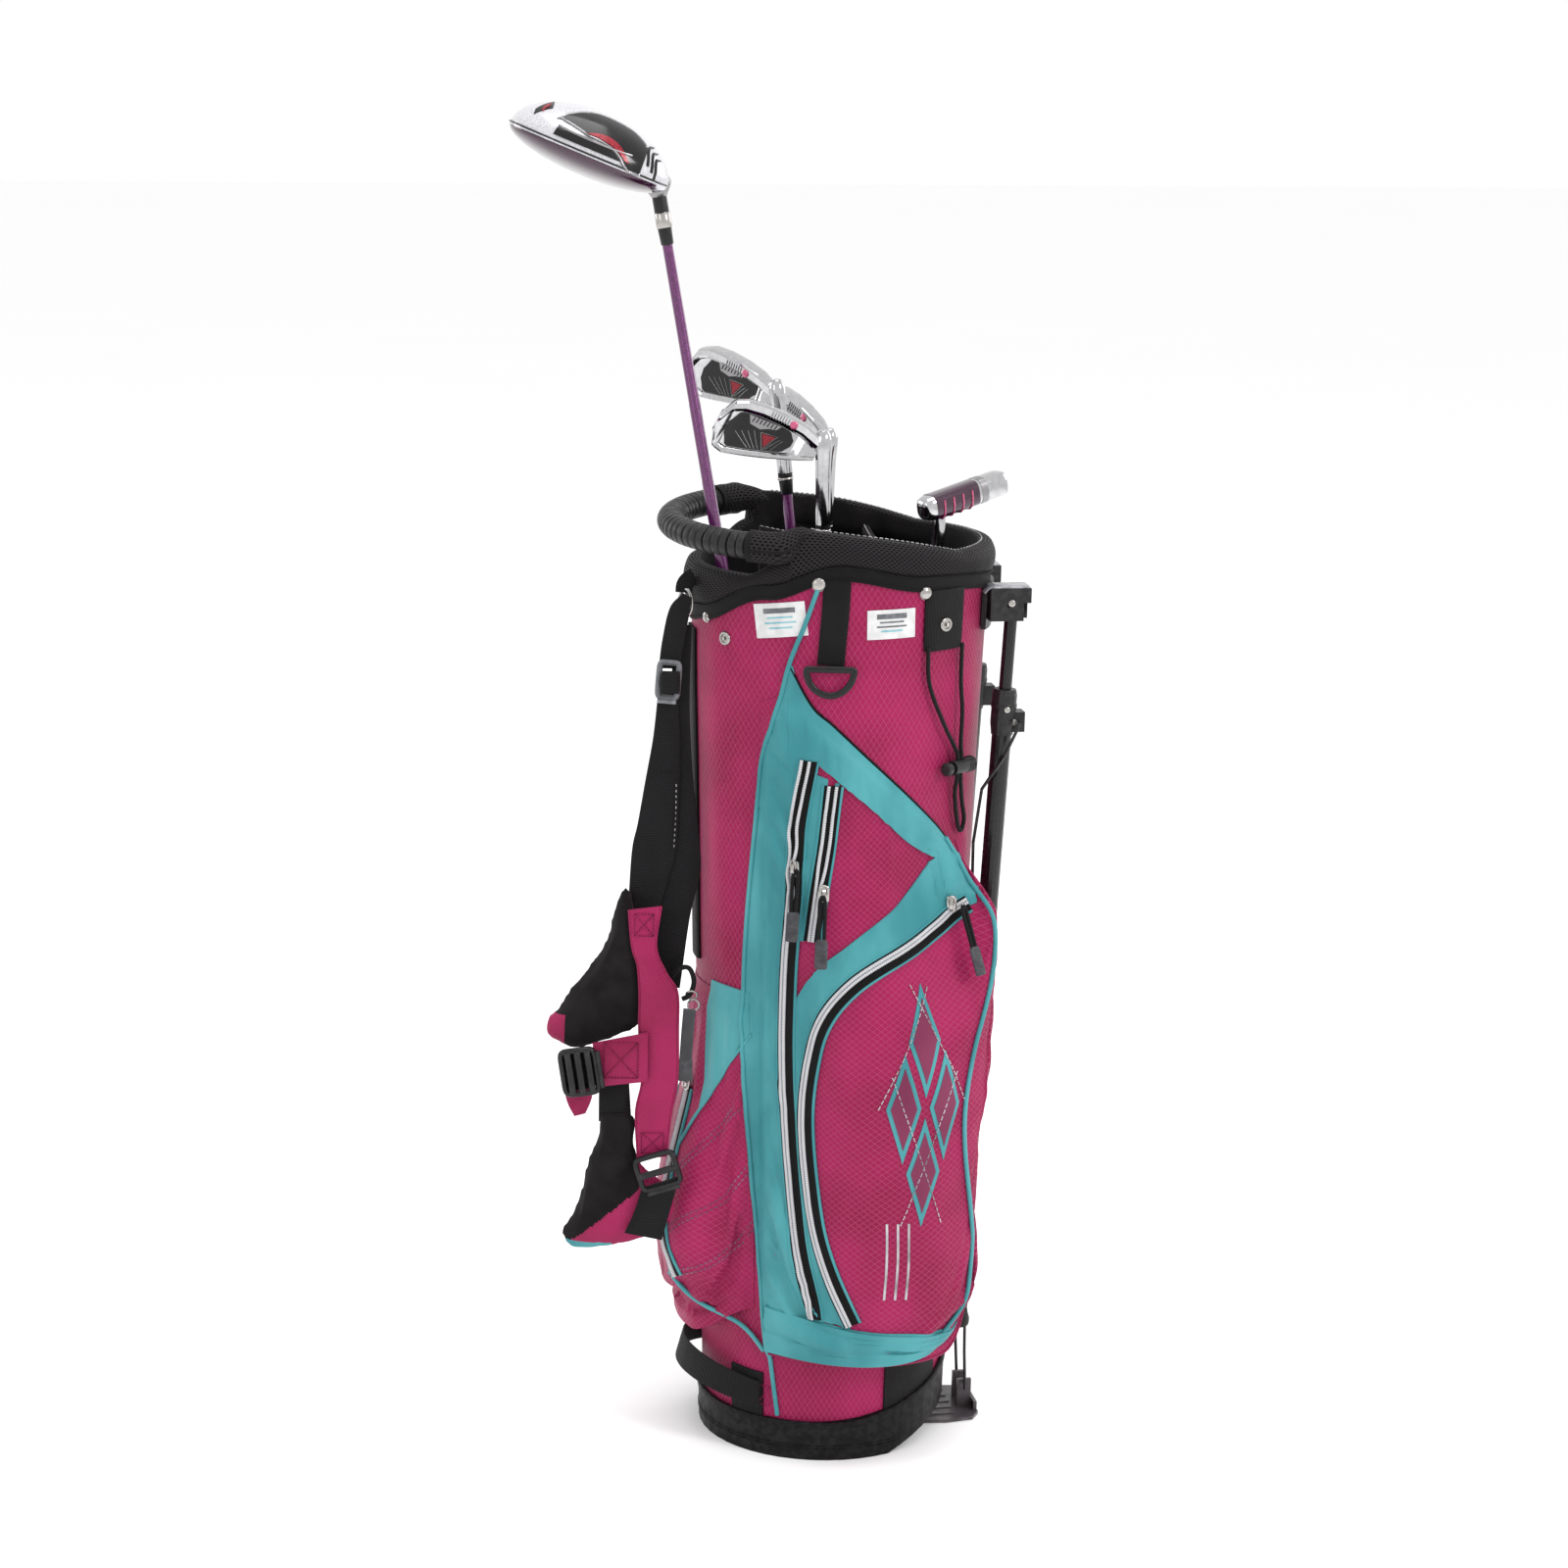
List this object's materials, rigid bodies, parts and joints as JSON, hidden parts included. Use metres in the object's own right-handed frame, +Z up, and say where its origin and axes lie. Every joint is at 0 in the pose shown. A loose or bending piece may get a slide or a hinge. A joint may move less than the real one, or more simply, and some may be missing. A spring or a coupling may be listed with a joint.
{
  "type": "golf stand bag with clubs",
  "caption": "Golf stand bag on a moulded base with swing-out legs driven by a foot flap, padded collar and handle, zip pockets, double shoulder strap, and loose clubs standing in it.",
  "frame": {"origin": "centre of the base's sole, on the surface the bag stands on", "axes": "+Z up, +X towards the stand legs, -X towards the carrying straps and handle, -Y towards the pocket with the umbrella cord"},
  "size_m": [0.4521, 0.3158, 1.2063],
  "materials": {
    "ripstop": "woven polyester ripstop, semi-matt",
    "air_mesh": "spacer mesh, matt",
    "webbing": "woven webbing, matt",
    "cord": "braided elastic cord",
    "lining": "brushed lining, matt",
    "teal_satin": "satin weave, soft sheen",
    "zip_tape": "woven tape",
    "zip_coil": "white nylon coil",
    "handle_rubber": "corrugated, satin",
    "base_moulding": "textured moulding",
    "black_plastic": "satin moulding",
    "flap_moulding": "scuffed moulding",
    "grey_nylon": "moulded nylon",
    "painted_tube": "black enamel",
    "nickel_steel": "polished nickel",
    "grip_rubber": "moulded grip",
    "shaft_lacquer": "purple lacquer, glossy",
    "chromed_head": "polished chrome",
    "driver_shell": "pearl silver lacquer over a light hollow shell, with dark glossy insets",
    "club_badge": "dark enamel with red and chrome lines",
    "paper_label": "blank paper label"
  },
  "bodies": {
    "bag": {"bag_tube": "ripstop", "ball_pocket": "ripstop", "base_cup": "base_moulding", "base_grab_strap": "webbing", "collar_frame": "black_plastic", "cord_lock": "black_plastic", "divider_far": "lining", "divider_long": "lining", "divider_near": "lining", "flap_hinge_pin": "nickel_steel", "garment_pocket_far": "ripstop", "garment_pocket_near": "ripstop", "grab_handle": "handle_rubber", "leg_bracket": "black_plastic", "leg_far_pin": "nickel_steel", "leg_near_pin": "nickel_steel", "shoulder_pad_lower": "ripstop", "shoulder_pad_upper": "ripstop", "stay_rod_far": "black_plastic", "stay_rod_near": "black_plastic", "strap_buckle_lower": "black_plastic", "strap_buckle_upper": "black_plastic", "strap_triglide": "grey_nylon", "strap_webbing_lower": "webbing", "strap_webbing_upper": "webbing", "strap_yoke": "ripstop", "top_collar": "air_mesh", "towel_strap": "webbing", "umbrella_cord": "cord"},
    "driver": {"driver_grip": "grip_rubber", "driver_shaft": "shaft_lacquer", "driver_head": "driver_shell"},
    "iron_long": {"iron_long_grip": "grip_rubber", "iron_long_shaft": "shaft_lacquer", "iron_long_head": "chromed_head"},
    "iron_mid": {"iron_mid_grip": "grip_rubber", "iron_mid_shaft": "shaft_lacquer", "iron_mid_head": "chromed_head"},
    "iron_short": {"iron_short_grip": "grip_rubber", "iron_short_shaft": "shaft_lacquer", "iron_short_head": "chromed_head"},
    "putter": {"putter_grip": "grip_rubber", "putter_shaft": "shaft_lacquer", "putter_head": "chromed_head"},
    "leg_near": {"leg_near_upper_tube": "painted_tube", "leg_near_housing": "black_plastic", "leg_near_lower_tube": "painted_tube", "leg_near_foot": "grip_rubber"},
    "wire_near": {"leg_near_wire": "painted_tube"},
    "leg_far": {"leg_far_upper_tube": "painted_tube", "leg_far_housing": "black_plastic", "leg_far_lower_tube": "painted_tube", "leg_far_foot": "grip_rubber"},
    "wire_far": {"leg_far_wire": "painted_tube"},
    "flap": {"actuator_flap": "flap_moulding"},
    "towel_ring": {"towel_ring": "black_plastic"},
    "zip_puller_long": {"zip_puller_long": "black_plastic"},
    "zip_puller_short": {"zip_puller_short": "black_plastic"},
    "zip_puller_side": {"zip_puller_side": "black_plastic"},
    "lock_button": {"cord_lock_button": "black_plastic"}
  },
  "joints": [
    {"name": "leg_near_swing", "type": "hinge", "parent": "bag", "child": "leg_near", "pos_m": [0.1445, -0.0555, 0.778], "axis": [-0.4226, -0.9063, 0], "range_deg": [0, 30]},
    {"name": "wire_near_turn", "type": "hinge", "parent": "leg_near", "child": "wire_near", "pos_m": [0.152, -0.07, 0.672], "axis": [-0.4226, -0.9063, 0], "range_deg": [-35.5, 0]},
    {"name": "leg_far_swing", "type": "hinge", "parent": "bag", "child": "leg_far", "pos_m": [0.1445, 0.0555, 0.778], "axis": [0.4226, -0.9063, 0], "range_deg": [0, 30]},
    {"name": "wire_far_turn", "type": "hinge", "parent": "leg_far", "child": "wire_far", "pos_m": [0.152, 0.07, 0.672], "axis": [0.4226, -0.9063, 0], "range_deg": [-35.5, 0]},
    {"name": "flap_hinge", "type": "hinge", "parent": "bag", "child": "flap", "pos_m": [0.0525, 0, 0.0048], "axis": [0, -1, 0], "range_deg": [0, 15.5]},
    {"name": "driver_pull", "type": "slide", "parent": "bag", "child": "driver", "axis": [-0.1737, 0.0626, 0.9828], "range_m": [0, 0.42]},
    {"name": "iron_long_pull", "type": "slide", "parent": "bag", "child": "iron_long", "axis": [-0.1171, -0.0048, 0.9931], "range_m": [0, 0.42]},
    {"name": "iron_mid_pull", "type": "slide", "parent": "bag", "child": "iron_mid", "axis": [-0.023, -0.0267, 0.9994], "range_m": [0, 0.42]},
    {"name": "iron_short_pull", "type": "slide", "parent": "bag", "child": "iron_short", "axis": [0.0252, -0.0132, 0.9996], "range_m": [0, 0.42]},
    {"name": "putter_pull", "type": "slide", "parent": "bag", "child": "putter", "axis": [0.0075, 0.005, 1], "range_m": [0, 0.42]},
    {"name": "towel_ring_swing", "type": "hinge", "parent": "bag", "child": "towel_ring", "pos_m": [-0.03062, -0.11994, 0.7345], "axis": [-0.9791, 0.2034, 0], "range_deg": [0, 75]},
    {"name": "zip_puller_long_swing", "type": "hinge", "parent": "bag", "child": "zip_puller_long", "pos_m": [-0.05623, -0.11597, 0.55605], "axis": [-0.9248, 0.3804, 0], "range_deg": [0, 110]},
    {"name": "zip_puller_short_swing", "type": "hinge", "parent": "bag", "child": "zip_puller_short", "pos_m": [-0.03438, -0.12776, 0.53396], "axis": [-0.9746, 0.2241, 0], "range_deg": [0, 110]},
    {"name": "zip_puller_side_swing", "type": "hinge", "parent": "bag", "child": "zip_puller_side", "pos_m": [0.0954, -0.11189, 0.51744], "axis": [-0.8057, -0.5924, 0], "range_deg": [0, 110]},
    {"name": "lock_button_press", "type": "slide", "parent": "bag", "child": "lock_button", "axis": [0.7628, 0.6466, 0], "range_m": [0, 0.003], "stiffness_N_per_m": 150, "springref_m": -0.002}
  ],
  "couplings": [
    {"joint": "wire_near_turn", "follows": "leg_near_swing", "ratio": -1.17},
    {"joint": "wire_far_turn", "follows": "leg_near_swing", "ratio": -1.17},
    {"joint": "leg_far_swing", "follows": "leg_near_swing", "ratio": 1},
    {"joint": "flap_hinge", "follows": "leg_near_swing", "ratio": 0.5}
  ]
}
